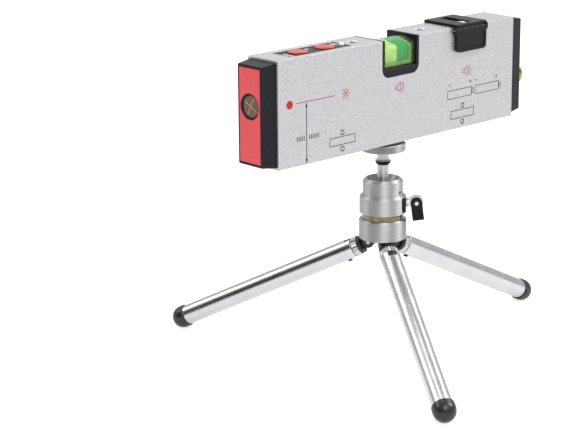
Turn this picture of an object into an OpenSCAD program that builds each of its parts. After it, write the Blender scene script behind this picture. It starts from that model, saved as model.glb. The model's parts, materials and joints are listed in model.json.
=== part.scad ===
// Cross-line laser spirit level standing on a folding mini tripod with a ball head.
//
// Frame: millimetres, +Z up, origin on the ground under the middle of the whole object.
// The level lies along X with its laser at the -X end, and its marked side faces -Y.
// The tripod axis is vertical, through the 1/4 inch bush in the level's base.

/* [Level] */
// Length of the aluminium housing without its end caps
body_len = 159.5; // [150:0.5:170]
// Width of the housing, front to back
body_w = 20; // [19:0.5:22]
// Height of the housing
body_h = 50.5; // [49.5:0.5:51.5]
// Wall of the extruded housing
body_wall = 1.5; // [1.2:0.1:1.8]
// Length of each end cap
cap_len = 8.1; // [7:0.1:10]
// How far each end cap narrows on every side
cap_draft = 2; // [1.5:0.1:2.2]
// Height of the laser beam above the base
beam_h = 29.5; // [28:0.5:31]
// Distance of the tripod bush from the laser end of the housing
stud_x = 77.5; // [76:0.5:79]
// Height of the battery tube's axis above the base
battery_h = 19; // [18.5:0.1:19.5]

/* [Vials] */
// Laser-side edge of the vial window
window_x = 66.7; // [66:0.1:67]
// Length of the vial window
window_len = 24.8; // [24:0.1:25]
// Height of the window's lower edge above the base
window_z = 32.5; // [32:0.1:33]
// Radius of the window's lower corners
window_r = 4.5; // [3:0.5:5]
// Radius of the horizontal vial's barrel
vial_r = 4.2; // [4:0.1:4.6]
// Middle of the plumb vial along the housing
plumb_x = 127.3; // [127:0.1:128]

/* [Keypad] */
// Distance of the first button from the laser end
power_x = 22; // [21:0.5:23]
// Distance of the second button from the laser end
mode_x = 38.5; // [37.5:0.5:39]
// Radius of a button
button_r = 4.75; // [4:0.05:4.8]
// Travel of a button
button_travel = 0.8; // [0.4:0.1:0.8]

/* [Ball head] */
// Radius of the ball
ball_r = 7; // [6.8:0.1:7]
// Radius of the clamp ring around the socket
ring_r = 11.4; // [11:0.1:12]
// Radius of the cap over the ball
cap_r = 9.8; // [9.7:0.1:10]
// Radius of the stem above the ball
stem_r = 2.85; // [2.5:0.05:2.9]
// Radius of the knurled mounting disc
disc_r = 11; // [10:0.5:12]
// Direction of the clamp screw about the tripod axis, in degrees
clamp_turn = -42.5; // [-50:0.5:-35]

/* [Tripod] */
// Distance from a leg's hinge to the middle of its domed foot
leg_len = 109.7; // [100:0.1:120]
// Slope of an opened leg below the horizontal, in degrees
leg_slope = 26.2; // [24:0.1:30]
// Distance of each leg hinge from the tripod axis
hinge_r = 6.5; // [6.4:0.1:6.6]
// Outer radius of a leg tube
tube_r = 5; // [4.8:0.1:5]
// Radius of a foot's dome
foot_r = 5.5; // [5.4:0.1:5.6]
// Radius of the hub ring
hub_r = 11.6; // [11.4:0.1:11.8]

/* [Hidden] */
$fn = 64;
over = 1;              // how far a cutter runs past the face it cuts
fit = 0.05;            // radial clearance of a running fit
gap = 0.3;             // clearance between pieces that move past each other

// Tripod
foot_flat = 0.2;       // height cut from a dome where it stands on the ground
foot_skirt = 2.5;      // length of the foot's sleeve over the tube
foot_plug = 8;         // length of the foot's plug inside the tube
foot_skirt_r = foot_r + 0.1;
tube_wall = 0.8;
tube_start = 8.8;      // distance of the tube's upper end from its hinge
tube_end = leg_len - 1;
tongue_half = 1.45;    // half the thickness of a leg's tongue
tongue_r = 2.5;
neck_start = 3.9;      // distance of a tongue's round flange from its hinge
neck_step = 5.4;       // where that flange meets the core under the tube's collar
neck_flange_r = 4.4;
neck_core_r = 4.6;
lug_r = 2.8;
lug_in = tongue_half + 0.15;
lug_out = 3.3;
pin_r = 1;
plug_len = 9;          // length of a tongue's plug inside its tube
rivet_x = 13.5;        // distance of a leg's rivet from its hinge
rivet_r = 1.1;
rivet_high = 0.7;
mouth_len = 3.2;       // length of the notch in a tube's upper side at its hinge
mouth_half = 2.2;      // half the width of that notch
hinge_z = foot_r - foot_flat + leg_len * sin(leg_slope);
reach = hinge_r + leg_len * cos(leg_slope);
LEGS = [0, 120, 240];  // directions of the legs, in degrees

// Hub, measured up from the hinges
hub_low = 2.6;
hub_high = 12.4;
yoke_t = 3;
yoke_r = hub_r - 1;
hub_plate = 2;
hub_cavity_r = hub_r - 1.8;
hub_bevel = 0.6;
hub_bolt_r = 2.4;
hub_bolt_head_r = 4.2;
washer_t = 3.2;
washer_r = hub_r - 1.6;

// Ball head, measured up from the middle of the ball
socket_low = -8.8;
shoulder_low = -1;
shoulder_high = 0.2;
cap_high = 8;
cap_bevel = 1.2;
mouth_r = 5.75;        // radius of the cap's mouth where it holds the ball
mouth_z = 4;
mouth_top_r = 8;
seat_low = -7.9;
seat_high = -5;
seat_r = 5.6;
seat_hole_r = 3;
cavity_r = ball_r + gap;
ball_z = hinge_z + hub_high + washer_t - socket_low;
collar_low = 15;
collar_high = 17.1;
collar_low_r = 3.1;
collar_r = 3.75;
neck_r = 2.85;
disc_low = 21.9;
disc_high = 25.8;
pad_high = 27;
pad_r = 10;
base_up = 27.2;        // height of the level's base above the ball
stud_r = 3.1;          // 1/4 inch thread
stud_in = 5.5;

// Clamp, measured outwards from the tripod axis along the clamp screw
clamp_down = 4.5;      // depth of the screw's axis below the middle of the ball
clamp_r = 1.6;
clamp_tip = 6.8;
insert_half = 7.2;     // half the width of the black insert in the ring
insert_deep = 8.6;
insert_low = -8.1;
insert_corner = 2.2;
flange_in = 11.7;
flange_out = 12.5;
flange_r = 2.3;
pivot_out = 16.3;
eye_r = 3.6;
eye_half = 1.1;
key_half = 2.6;
key_r = 2.8;
key_low = 8.6;
key_slot = eye_half + 0.15;
key_lean = 7;          // how far the hanging key leans outwards, in degrees
key_pin_r = 0.7;
key_pin_head = 0.25;
key_ribs = 7;
set_screw_r = 0.9;
set_screw_up = 1.8;

// Level, measured from the laser end of the housing, its middle plane and its base
level_z = ball_z + base_up;
cap_skirt = 6;
cap_inset = 1;         // width of the housing's end face left bare around an end cap
cap_wall = 1.8;
plate_t = 0.8;
plate_proud = 0.2;
plate_y = 6.9;
plate_low = 3.3;
plate_high = body_h - 3.3;
bezel_r = 6.1;
bezel_in_r = 5;
bezel_back = -4.6;
lens_x = -7.4;
lens_t = 1.2;
barrel_r = 5.5;
barrel_end = 22;
barrel_bore_r = 3.2;

tube_front = 63.5;     // laser-side end of the battery tube
tube_back = body_len + 3;
battery_in_r = 5.4;
battery_out_r = 6.2;
cell_r = 5.25;
cell_len = 44.5;
cell_nub = 1;
cell_nub_r = 2.75;
cells_end = 156.5;
cell_gap = 0.1;
contact_t = 0.8;
spring_wire = 0.4;
spring_r = 4;
spring_turns = 3;
knob_r = 5.9;
knob_in = 163.2;
knob_out = 173.2;
knob_bevel = 1.2;
spigot_in = 156.9;

frame_side = 1.7;      // visible wall of the vial frame beside the window
frame_low = 4;
frame_grip = 1.5;      // how far the frame reaches behind the housing wall
frame_ear_t = 4;
frame_ear_half = 5;
ear_front = 53.8;
ear_back = 106.5;
block_half = 8.1;
block_top = body_h - 1.2;   // crest of the block's crowned top
block_edge = body_h - 3.7;  // height of that top's front and back edges
block_wall = 2;
vial_z = 41.9;
bubble_x = 77.5;       // middle of the bubble along the housing
bubble_r = vial_r - 1.2;
bubble_len = 4.4;
bubble_up = vial_r - bubble_r - 0.15;
screw_x = [56.6, 102.3];
screw_r = 1.5;
screw_head_r = 2.4;
screw_head_t = 1.3;
screw_rim_r = 3.4;     // radius of the countersink at the housing's top
screw_sunk = 0.6;      // depth of a screw's head below that top
screw_len = 5;
screw_recess = 3;      // width of the cross recess in a screw's head
screw_recess_deep = 0.8;

keypad_x = 11.2;
keypad_len = 39;
keypad_half = 6.5;
keypad_t = 0.6;
keypad_sunk = 0.3;     // depth of the bezel's face below the housing's top
led_x = 48.6;
led_y = -0.8;
led_r = 1.2;
led_high = body_h + 0.6;
button_high = body_h + 0.8;
button_low = body_h - 2.5;
button_flange_r = 5.6;
button_flange_t = 0.7;
button_hole_r = 5;
button_crown = 18;     // radius of a button's crowned top
board_x = 9;
board_len = 44.5;
board_low = body_h - 8.5;
board_high = body_h - 6.9;
board_half = 8.2;
switch_side = 6;
switch_high = body_h - 4.3;
plunger_r = 1.75;
plunger_high = button_low - button_travel - 0.1;
buzzer_x = 45;
buzzer_r = 6;
buzzer_low = board_low - 5;

saddle_x = 116.8;
saddle_len = 20.9;
saddle_t = 1.4;
saddle_back = 10.8;
saddle_front = 11.45;
skirt_low = 42;
slot_front = 8.4;
slot_back = 7.6;
slot_half_x = 2.6;
flap_x = 116.2;
flap_len = 21.2;
flap_low = 38.3;
flap_t = 1.5;
flap_y = -11.15;       // axis of the flap's pin
flap_z = body_h - 1.2;
flap_corner = 2;
flap_rim = 1.3;
flap_panel = 0.4;
barrel_hinge_r = 0.85;
flap_pin_r = 0.4;
lug_front = 114.9;
lug_back = 138.3;
lug_gap = 0.2;
lug_low = 47.6;
lug_high = body_h + 0.4;
lug_y = -11.95;
plumb_win_x = 118.8;
plumb_win_len = 17;
plumb_win_low = 39.5;
plumb_win_high = 48.4;
carrier_x = 119.3;
carrier_len = 16;
carrier_low = 27;
plumb_r = 4;
plumb_y = -4.2;
plumb_low = 28.5;
plumb_high = 46.8;
plumb_neck_r = 2.35;   // radius of the vial's neck, seen through the saddle's slot
plumb_top = body_h + 0.8;
plumb_view = 10;

magnet_x = [32.3, 114.7];
magnet_len = 16.3;
magnet_half = 4.5;
magnet_t = 4;
bush_r = 5;
bush_bore_r = stud_r + fit;
bush_flange_r = 7;
bush_flange_t = 1.5;
bush_high = 8;
bush_deep = 7;

// The whole object is centred on the origin: the laser face is its lowest X, and the
// foot of the first leg its highest.
front_reach = stud_x + cap_len + plate_proud;
tripod_x = (front_reach - reach - foot_r) / 2;

// ---- placing ----

// The tripod's own frame, at the height of the leg hinges.
module at_hub() {
    translate([tripod_x, 0, hinge_z]) children();
}

// A leg's own frame: its hinge at the origin, +X down the leg, +Y along the hinge pin.
module at_leg(i) {
    at_hub() rotate([0, 0, LEGS[i - 1]]) translate([hinge_r, 0, 0])
        rotate([0, leg_slope, 0]) children();
}

// The ball head's own frame, at the middle of the ball.
module at_ball() {
    translate([tripod_x, 0, ball_z]) children();
}

// The clamp's own frame: +X outwards along the clamp screw.
module at_clamp() {
    at_ball() rotate([0, 0, clamp_turn]) translate([0, 0, -clamp_down]) children();
}

// The level's own frame.
module at_level() {
    translate([tripod_x - stud_x, 0, level_z]) children();
}

// ---- shapes ----

// A round bar along X from x1 to x2.
module bar_x(x1, x2, r) {
    translate([x1, 0, 0]) rotate([0, 90, 0]) cylinder(h = x2 - x1, r = r);
}

// A round bar along Y from y1 to y2.
module bar_y(y1, y2, r) {
    translate([0, y1, 0]) rotate([-90, 0, 0]) cylinder(h = y2 - y1, r = r);
}

// A box from one corner to the opposite one.
module block(low, high) {
    translate(low) cube(high - low);
}

// An outline drawn in X and Z, extruded along Y from y1 to y2.
module side_extrude(y1, y2) {
    translate([0, y2, 0]) rotate([90, 0, 0]) linear_extrude(height = y2 - y1) children();
}

// A flat outline, open upwards, whose two lower corners are round.
module pocket_outline(x1, x2, z1, z2, r) {
    translate([x1, z1 + r]) square([x2 - x1, z2 - z1 - r]);
    translate([x1 + r, z1]) square([x2 - x1 - 2 * r, r + over / 2]);
    translate([x1 + r, z1 + r]) circle(r);
    translate([x2 - r, z1 + r]) circle(r);
}

// The tapered block of an end cap, from its wide end at x = 0 to its face at x = -cap_len.
module cap_taper() {
    wide = body_w / 2 - cap_inset;
    narrow = body_w / 2 - cap_draft;
    intersection() {
        linear_extrude(height = body_h) polygon([
            [0, -wide], [0, wide], [-cap_len, narrow], [-cap_len, -narrow]]);
        side_extrude(-wide, wide) polygon([
            [0, cap_inset], [0, body_h - cap_inset],
            [-cap_len, body_h - cap_draft], [-cap_len, cap_draft]]);
    }
}

// An end cap with its hollow skirt inside the housing.
module end_cap() {
    inner = body_w / 2 - body_wall;
    difference() {
        union() {
            cap_taper();
            block([-over / 2, -inner, body_wall], [cap_skirt, inner, body_h - body_wall]);
        }
        block([-cap_len + 2 * cap_wall, -inner + cap_wall, body_wall + cap_wall],
              [cap_skirt + over, inner - cap_wall, body_h - body_wall - cap_wall]);
    }
}

// ---- tripod ----

module hub_ring() {
    color("silver") at_hub() difference() {
        rotate_extrude() polygon([
            [0, hub_low], [hub_r, hub_low], [hub_r, hub_high - hub_bevel],
            [hub_r - hub_bevel, hub_high], [0, hub_high]]);
        translate([0, 0, hub_low - over]) cylinder(h = yoke_t + over, r = yoke_r);
        translate([0, 0, hub_low]) cylinder(h = hub_high - hub_plate - hub_low, r = hub_cavity_r);
        cylinder(h = hub_high + over, r = hub_bolt_r);
    }
}

module leg_yoke() {
    color("dimgray") at_hub() difference() {
        union() {
            translate([0, 0, hub_low]) cylinder(h = yoke_t, r = yoke_r);
            for (a = LEGS, s = [-1, 1]) rotate([0, 0, a])
                side_extrude(s > 0 ? lug_in : -lug_out, s > 0 ? lug_out : -lug_in) {
                    translate([hinge_r, 0]) circle(lug_r);
                    translate([hinge_r - lug_r, 0]) square([2 * lug_r, hub_low + over]);
                }
        }
        for (a = LEGS) rotate([0, 0, a]) translate([hinge_r, 0, 0])
            bar_y(-lug_out - over, lug_out + over, pin_r);
    }
}

module hub_bolt() {
    top = hub_high + washer_t - socket_low + seat_low + 0.4;
    color("gray") at_hub() {
        translate([0, 0, hub_high - hub_plate - 3]) cylinder(h = 3, r = hub_bolt_head_r);
        translate([0, 0, hub_high - hub_plate - over])
            cylinder(h = top - hub_high + hub_plate + over, r = hub_bolt_r);
    }
}

module head_washer() {
    color("darkkhaki") at_hub() difference() {
        translate([0, 0, hub_high]) cylinder(h = washer_t, r = washer_r);
        translate([0, 0, hub_high - over]) cylinder(h = washer_t + 2 * over, r = hub_bolt_r);
    }
}

module leg_pins() {
    color("gainsboro") at_hub() for (a = LEGS) rotate([0, 0, a]) translate([hinge_r, 0, 0])
        bar_y(-lug_out, lug_out, pin_r);
}

module leg_tube(i) {
    color("gainsboro") at_leg(i) difference() {
        bar_x(tube_start, tube_end, tube_r);
        bar_x(tube_start - over, tube_end + over, tube_r - tube_wall);
        translate([rivet_x, 0, -tube_r - over]) cylinder(h = tube_r + over, r = rivet_r);
        block([tube_start - over, -mouth_half, 0], [tube_start + mouth_len, mouth_half, tube_r + over]);
    }
}

module leg_tongue(i) {
    plug_r = tube_r - tube_wall;
    color("dimgray") at_leg(i) difference() {
        union() {
            bar_y(-tongue_half, tongue_half, tongue_r);
            block([0, -tongue_half, -tongue_r], [neck_start + over, tongue_half, tongue_r]);
            bar_x(neck_start, neck_step, neck_flange_r);
            bar_x(neck_step, tube_start, neck_core_r);
            bar_x(tube_start - over, tube_start + plug_len, plug_r);
        }
        bar_y(-lug_out, lug_out, pin_r + fit);
        translate([rivet_x, 0, -tube_r]) cylinder(h = tube_r - 2, r = rivet_r);
    }
}

module leg_rivet(i) {
    color("gray") at_leg(i) translate([rivet_x, 0, 0]) intersection() {
        translate([0, 0, -tube_r - rivet_high]) cylinder(h = tube_r + rivet_high - 2, r = rivet_r);
        translate([0, 0, -tube_r + 0.3]) sphere(r = tube_r - 4 + rivet_high * 0.6 + 1.6);
    }
}

module leg_foot(i) {
    color([0.08, 0.08, 0.08]) intersection() {
        at_leg(i) {
            difference() {
                union() {
                    bar_x(leg_len - foot_skirt, leg_len, foot_skirt_r);
                    translate([leg_len, 0, 0]) sphere(r = foot_r);
                }
                bar_x(leg_len - foot_skirt - over * 5, tube_end, tube_r);
            }
            bar_x(tube_end - foot_plug, tube_end + over, tube_r - tube_wall);
        }
        translate([-reach * 2, -reach * 2, 0]) cube(reach * 4);
    }
}

// ---- ball head ----

module head_socket() {
    color("silver") at_ball() difference() {
        rotate_extrude() polygon([
            [0, socket_low], [ring_r, socket_low], [ring_r, shoulder_low],
            [cap_r + gap, shoulder_high], [0, shoulder_high]]);
        sphere(r = cavity_r);
        translate([0, 0, seat_low]) cylinder(h = -seat_low, r = seat_r);
        translate([0, 0, socket_low - over]) cylinder(h = -socket_low, r = hub_bolt_r);
        clamp_hole();
        insert_shape(0);
    }
}

// The space that the clamp screw runs in.
module clamp_hole() {
    rotate([0, 0, clamp_turn]) translate([0, 0, -clamp_down])
        bar_x(0, ring_r + over, clamp_r + fit);
}

// The black insert's own shape, as a block that the ring's outside trims.
module insert_shape(shrink) {
    rotate([0, 0, clamp_turn]) rotate([0, 0, 90])
        translate([0, -insert_deep, 0]) side_extrude(-ring_r, -shrink)
            pocket_outline(-insert_half, insert_half, insert_low, shoulder_low, insert_corner);
}

module clamp_insert() {
    color([0.1, 0.1, 0.1]) at_ball() difference() {
        intersection() {
            insert_shape(0);
            translate([0, 0, socket_low]) cylinder(h = shoulder_low - socket_low, r = ring_r);
        }
        clamp_hole();
    }
}

module head_cap() {
    color("silver") at_ball() difference() {
        rotate_extrude() polygon([
            [0, shoulder_high], [cap_r, shoulder_high], [cap_r, cap_high - cap_bevel],
            [cap_r - cap_bevel, cap_high], [0, cap_high]]);
        sphere(r = ball_r + fit);
        translate([0, 0, mouth_z])
            cylinder(h = cap_high - mouth_z, r1 = mouth_r, r2 = mouth_top_r);
        translate([0, 0, cap_high]) cylinder(h = over, r = mouth_top_r);
        set_screw_place() bar_x(0, cap_r + over, set_screw_r);
    }
}

// The set screw in the cap's side stands a little beside the clamp screw.
module set_screw_place() {
    rotate([0, 0, clamp_turn - 35]) translate([0, 0, set_screw_up]) children();
}

module set_screw() {
    color([0.15, 0.15, 0.15]) at_ball() set_screw_place()
        bar_x(ball_r + gap, cap_r - 0.4, set_screw_r);
}

module ball_seat() {
    color("ivory") at_ball() difference() {
        translate([0, 0, seat_low]) cylinder(h = seat_high - seat_low, r = seat_r);
        translate([0, 0, seat_low - over]) cylinder(h = seat_high - seat_low + 2 * over, r = seat_hole_r);
        sphere(r = ball_r + fit);
        clamp_hole();
    }
}

module clamp_screw() {
    color("gainsboro") at_clamp() difference() {
        union() {
            bar_x(clamp_tip, flange_out, clamp_r);
            bar_x(flange_in, flange_out, flange_r);
            block([flange_out - over / 2, -eye_half, -clamp_r], [pivot_out, eye_half, clamp_r]);
            translate([pivot_out, 0, 0]) bar_y(-eye_half, eye_half, eye_r);
        }
        translate([pivot_out, 0, 0]) bar_y(-key_half, key_half, key_pin_r);
    }
}

module key_pin() {
    free = key_half + 0.1;
    color("white") at_clamp() translate([pivot_out, 0, 0]) {
        bar_y(-free, free, key_pin_r);
        for (y = [-free - key_pin_head, free]) bar_y(y, y + key_pin_head, key_pin_r + key_pin_head);
    }
}

module clamp_key() {
    rib = 0.4;
    step = 2 * key_r / (key_ribs + 1);
    color([0.12, 0.12, 0.12]) at_clamp() translate([pivot_out, 0, 0]) rotate([0, -key_lean, 0])
        difference() {
            side_extrude(-key_half, key_half) {
                circle(key_r);
                translate([-key_r, -key_low]) square([2 * key_r, key_low]);
            }
            block([-key_r - over, -key_slot, -eye_r - gap], [key_r + over, key_slot, key_r + over]);
            bar_y(-key_half - over, key_half + over, key_pin_r + fit);
            for (n = [1:key_ribs], s = [-1, 1]) translate([n * step - key_r, s * key_half, -key_low])
                translate([-rib / 2, -rib / 2, rib]) cube([rib, rib, key_low - eye_r - gap]);
        }
}

module ball() {
    color("gainsboro") at_ball() sphere(r = ball_r);
}

module stem() {
    color("gainsboro") at_ball() difference() {
        union() {
            cylinder(h = collar_low, r = stem_r);
            translate([0, 0, collar_low]) cylinder(h = collar_high - collar_low, r1 = collar_low_r, r2 = collar_r);
            translate([0, 0, collar_high]) cylinder(h = disc_low - collar_high, r = neck_r);
        }
        sphere(r = ball_r + fit);
    }
}

module mount_disc() {
    color("silver") at_ball() difference() {
        translate([0, 0, disc_low]) cylinder(h = disc_high - disc_low, r = disc_r);
        translate([0, 0, disc_low - over]) cylinder(h = disc_high, r = stud_r);
    }
}

module disc_pad() {
    color([0.1, 0.1, 0.1]) at_ball() difference() {
        translate([0, 0, disc_high]) cylinder(h = pad_high - disc_high, r = pad_r);
        translate([0, 0, disc_high - over]) cylinder(h = disc_high, r = stud_r);
    }
}

module mount_stud() {
    color("gainsboro") at_ball() translate([0, 0, disc_low])
        cylinder(h = base_up + stud_in - disc_low, r = stud_r);
}

// ---- level: housing and ends ----

module housing() {
    half = body_w / 2;
    inner = half - body_wall;
    color("silver") at_level() difference() {
        block([0, -half, 0], [body_len, half, body_h]);
        block([-over, -inner, body_wall], [body_len + over, inner, body_h - body_wall]);
        window_cut(half + over);
        keypad_cuts();
        block([keypad_x, -keypad_half, body_h - keypad_sunk - keypad_t],
              [keypad_x + keypad_len, keypad_half, body_h + over]);
        for (x = screw_x) translate([x, 0, body_h]) screw_cut();
        block([plumb_win_x, -half - over, plumb_win_low],
              [plumb_win_x + plumb_win_len, -inner + over, plumb_win_high]);
        saddle_slot(body_h - body_wall - over, body_h + over);
        for (x = magnet_x)
            block([x, -magnet_half, -over], [x + magnet_len, magnet_half, body_wall + over]);
        translate([stud_x, 0, -over]) cylinder(h = body_wall + 2 * over, r = bush_r);
    }
}

module window_cut(half) {
    side_extrude(-half, half)
        pocket_outline(window_x, window_x + window_len, window_z, body_h + over, window_r);
}

module keypad_cuts() {
    low = body_h - body_wall - over;
    for (x = [power_x, mode_x]) translate([x, 0, low]) cylinder(h = 2 * over + 3, r = button_hole_r);
    translate([led_x, led_y, low]) cylinder(h = 2 * over + 3, r = led_r);
}

module screw_cut() {
    translate([0, 0, -screw_sunk]) cylinder(h = screw_sunk, r1 = screw_head_r, r2 = screw_rim_r);
    cylinder(h = over, r = screw_rim_r);
    translate([0, 0, -screw_len - screw_sunk]) cylinder(h = screw_len + over, r = screw_r);
    translate([0, 0, -screw_sunk - screw_head_t])
        cylinder(h = screw_head_t, r1 = screw_r, r2 = screw_head_r);
}

module saddle_slot(low, high) {
    block([plumb_x - slot_half_x, -slot_front, low], [plumb_x + slot_half_x, slot_back, high]);
}

module front_cap() {
    pocket = plate_t - plate_proud;
    color([0.13, 0.13, 0.15]) at_level() difference() {
        end_cap();
        block([-cap_len - over, -plate_y, plate_low], [-cap_len + pocket, plate_y, plate_high]);
        translate([0, 0, beam_h]) bar_x(-cap_len - over, cap_skirt, bezel_r);
    }
}

module front_plate() {
    color("tomato") at_level() difference() {
        block([-cap_len - plate_proud, -plate_y, plate_low],
              [-cap_len - plate_proud + plate_t, plate_y, plate_high]);
        translate([0, 0, beam_h]) bar_x(-cap_len - over, 0, bezel_r);
    }
}

module lens_bezel() {
    color([0.12, 0.1, 0.1]) at_level() translate([0, 0, beam_h]) difference() {
        bar_x(-cap_len, bezel_back, bezel_r);
        bar_x(-cap_len - over, bezel_back + over, bezel_in_r);
        translate([-cap_len, 0, 0]) rotate([0, 90, 0])
            cylinder(h = 1, r1 = bezel_r - 0.4, r2 = bezel_in_r);
    }
}

module beam_lens() {
    color("darkorange") at_level() translate([0, 0, beam_h]) bar_x(lens_x, lens_x + lens_t, bezel_in_r);
}

module laser_barrel() {
    color("goldenrod") at_level() translate([0, 0, beam_h]) difference() {
        bar_x(bezel_back, barrel_end, barrel_r);
        bar_x(bezel_back - over, barrel_end - 6, barrel_bore_r);
    }
}

module rear_cap() {
    color([0.13, 0.13, 0.15]) at_level() difference() {
        translate([body_len, 0, 0]) mirror([1, 0, 0]) end_cap();
        translate([0, 0, battery_h]) bar_x(body_len - cap_skirt - over, body_len + cap_len + over,
                                           battery_out_r);
    }
}

// ---- level: battery compartment ----

module battery_tube() {
    color("gray") at_level() translate([0, 0, battery_h]) difference() {
        bar_x(tube_front, tube_back, battery_out_r);
        bar_x(tube_front - over, tube_back + over, battery_in_r);
    }
}

module battery_cells() {
    body = cell_len - cell_nub - cell_gap;
    color("steelblue") at_level() translate([0, 0, battery_h]) for (n = [0, 1]) {
        end = cells_end - n * cell_len;
        bar_x(end - cell_nub - body, end - cell_nub, cell_r);
        bar_x(end - cell_nub - over, end, cell_nub_r);
    }
}

module battery_spring() {
    start = tube_front + contact_t;
    room = cells_end - 2 * cell_len - start;
    pitch = (room - 2 * spring_wire) / spring_turns;
    color("gainsboro") at_level() translate([start + spring_wire, 0, battery_h]) rotate([0, 90, 0])
        for (n = [0:spring_turns]) translate([0, 0, n * pitch])
            rotate_extrude() translate([spring_r, 0]) circle(spring_wire);
}

module battery_contact() {
    color("goldenrod") at_level() translate([0, 0, battery_h])
        bar_x(tube_front, tube_front + contact_t, battery_in_r);
}

module battery_plug() {
    slot_half = 0.6;
    color("goldenrod") at_level() translate([0, 0, battery_h]) difference() {
        union() {
            bar_x(spigot_in, knob_in + over, battery_in_r - fit);
            bar_x(knob_in, knob_out - knob_bevel, knob_r);
            translate([knob_out - knob_bevel, 0, 0]) rotate([0, 90, 0])
                cylinder(h = knob_bevel, r1 = knob_r, r2 = knob_r - knob_bevel);
        }
        block([knob_out - 1, -slot_half, -knob_r - over], [knob_out + over, slot_half, knob_r + over]);
    }
}

// ---- level: vials ----

module vial_frame() {
    half = body_w / 2;
    inner = half - body_wall;
    left = window_x + frame_side;
    right = window_x + window_len - frame_side;
    top = body_h - body_wall;
    color([0.1, 0.1, 0.1]) at_level() difference() {
        union() {
            intersection() {
                window_cut(half);
                block([0, -half, 0], [body_len, half, body_h]);
            }
            block([window_x - frame_grip, -inner, window_z - frame_grip],
                  [window_x + window_len + frame_grip, inner, top]);
            block([ear_front, -frame_ear_half, top - frame_ear_t],
                  [ear_back, frame_ear_half, top]);
        }
        block([left, -half - over, window_z + frame_low], [right, half + over, body_h + over]);
        for (x = screw_x) translate([x, 0, body_h]) screw_cut();
    }
}

module vial_block() {
    left = window_x + frame_side;
    right = window_x + window_len - frame_side;
    rise = block_top - block_edge;
    crown_r = (block_half * block_half + rise * rise) / (2 * rise);
    color([0.5, 0.9, 0.4, 0.5]) at_level() difference() {
        intersection() {
            block([left, -block_half, window_z + frame_low], [right, block_half, block_top]);
            translate([0, 0, block_top - crown_r]) bar_x(left, right, crown_r);
        }
        translate([0, 0, vial_z]) bar_x(left + block_wall, right - block_wall, vial_r);
    }
}

module vial_liquid() {
    left = window_x + frame_side + block_wall;
    right = window_x + window_len - frame_side - block_wall;
    color([0.1, 0.7, 0.4, 0.6]) at_level() difference() {
        translate([0, 0, vial_z]) bar_x(left + fit, right - fit, vial_r - fit);
        translate([0, 0, vial_z + bubble_up]) {
            bar_x(bubble_x - bubble_len / 2, bubble_x + bubble_len / 2, bubble_r);
            for (s = [-1, 1]) translate([bubble_x + s * bubble_len / 2, 0, 0]) sphere(r = bubble_r);
        }
    }
}

module top_screws() {
    color([0.2, 0.2, 0.2]) at_level() for (x = screw_x) translate([x, 0, body_h - screw_sunk]) {
        translate([0, 0, -screw_len]) cylinder(h = screw_len - screw_head_t, r = screw_r);
        translate([0, 0, -screw_head_t]) difference() {
            cylinder(h = screw_head_t, r1 = screw_r, r2 = screw_head_r);
            for (a = [45, 135]) rotate([0, 0, a]) translate([0, 0, screw_head_t])
                cube([screw_recess, screw_recess / 4, 2 * screw_recess_deep], center = true);
        }
    }
}

module saddle() {
    top = body_h + saddle_t;
    color([0.12, 0.12, 0.13]) at_level() difference() {
        union() {
            block([saddle_x, -saddle_front, body_h], [saddle_x + saddle_len, saddle_back, top]);
            block([saddle_x, body_w / 2, skirt_low],
                  [saddle_x + saddle_len, saddle_back, body_h + over / 2]);
            block([lug_front, -saddle_front, body_h], [lug_back, 2 - body_w / 2, lug_high]);
            for (x = [[lug_front, flap_x - lug_gap], [flap_x + flap_len + lug_gap, lug_back]])
                block([x[0], lug_y, lug_low], [x[1], -body_w / 2 - fit, lug_high]);
        }
        saddle_slot(body_h - over, top + over);
        translate([0, flap_y, flap_z]) bar_x(lug_front - over, lug_back + over, flap_pin_r);
    }
}

module flap() {
    x2 = flap_x + flap_len;
    outer = flap_y - flap_t / 2;
    color([0.12, 0.12, 0.13]) at_level() difference() {
        union() {
            side_extrude(outer, outer + flap_t)
                pocket_outline(flap_x, x2, flap_low, flap_z, flap_corner);
            translate([0, flap_y, flap_z]) bar_x(flap_x, x2, barrel_hinge_r);
        }
        side_extrude(outer - over, outer + flap_panel)
            pocket_outline(flap_x + flap_rim, x2 - flap_rim, flap_low + flap_rim,
                           flap_z - 2 * flap_rim, flap_corner - flap_rim / 2);
        translate([0, flap_y, flap_z]) bar_x(flap_x - over, x2 + over, flap_pin_r + fit);
    }
}

module flap_pin() {
    color("gainsboro") at_level() translate([0, flap_y, flap_z]) bar_x(lug_front, lug_back, flap_pin_r);
}

module plumb_carrier() {
    inner = body_w / 2 - body_wall;
    view = plumb_view / 2;
    color([0.1, 0.1, 0.1]) at_level() difference() {
        block([carrier_x, -inner, carrier_low], [carrier_x + carrier_len, inner, body_h - body_wall]);
        translate([plumb_x, plumb_y, plumb_low]) cylinder(h = body_h, r = plumb_r);
        block([plumb_x - view, -inner - over, plumb_low + 1.5], [plumb_x + view, plumb_y, body_h]);
        saddle_slot(plumb_high, body_h);
    }
}

module plumb_vial() {
    color([0.5, 0.9, 0.4, 0.5]) at_level() translate([plumb_x, plumb_y, plumb_low]) {
        cylinder(h = plumb_high - plumb_low, r = plumb_r);
        cylinder(h = plumb_top - plumb_low, r = plumb_neck_r);
    }
}

// ---- level: keypad and electronics ----

module keypad_bezel() {
    color([0.12, 0.12, 0.13]) at_level() difference() {
        block([keypad_x, -keypad_half, body_h - keypad_sunk - keypad_t],
              [keypad_x + keypad_len, keypad_half, body_h - keypad_sunk]);
        keypad_cuts();
    }
}

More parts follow.
